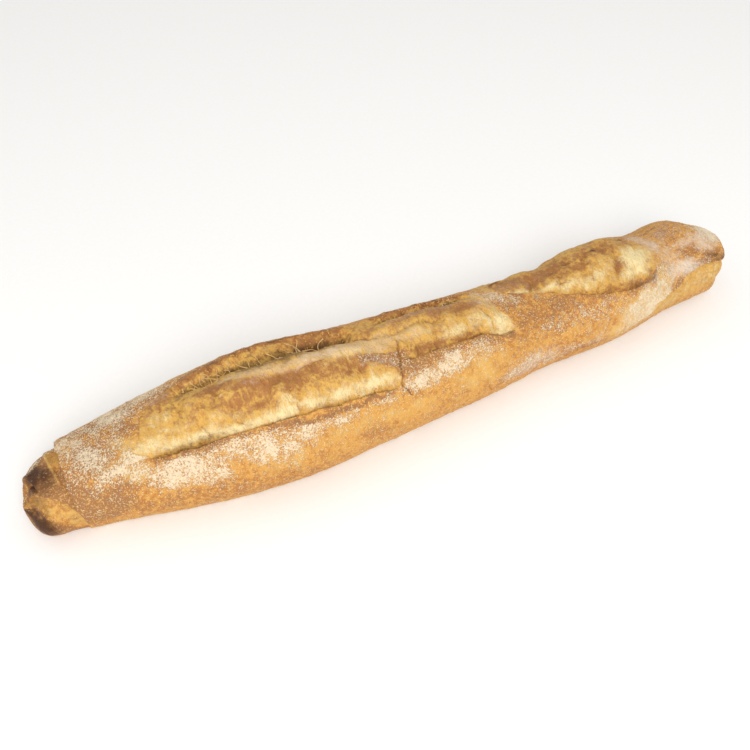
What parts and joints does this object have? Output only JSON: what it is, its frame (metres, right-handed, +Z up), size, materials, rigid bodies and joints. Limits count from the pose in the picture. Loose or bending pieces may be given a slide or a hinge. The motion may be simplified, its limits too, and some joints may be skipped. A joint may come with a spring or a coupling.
{
  "type": "baguette",
  "caption": "Long crusty loaf with slanting cuts that burst open along the top, a folded left end and a burst right end, flat underneath.",
  "frame": {"origin": "centre of the overall box, on the table plane", "axes": "+X along the loaf from the folded left end to the burst right end, +Y towards the far side, +Z up; the burst side and the cuts' near lips face -Y"},
  "size_m": [0.45, 0.083, 0.0631],
  "materials": {
    "crust": "matt baked crust dusted with flour"
  },
  "bodies": {
    "root": {"baguette": "crust"}
  },
  "joints": []
}
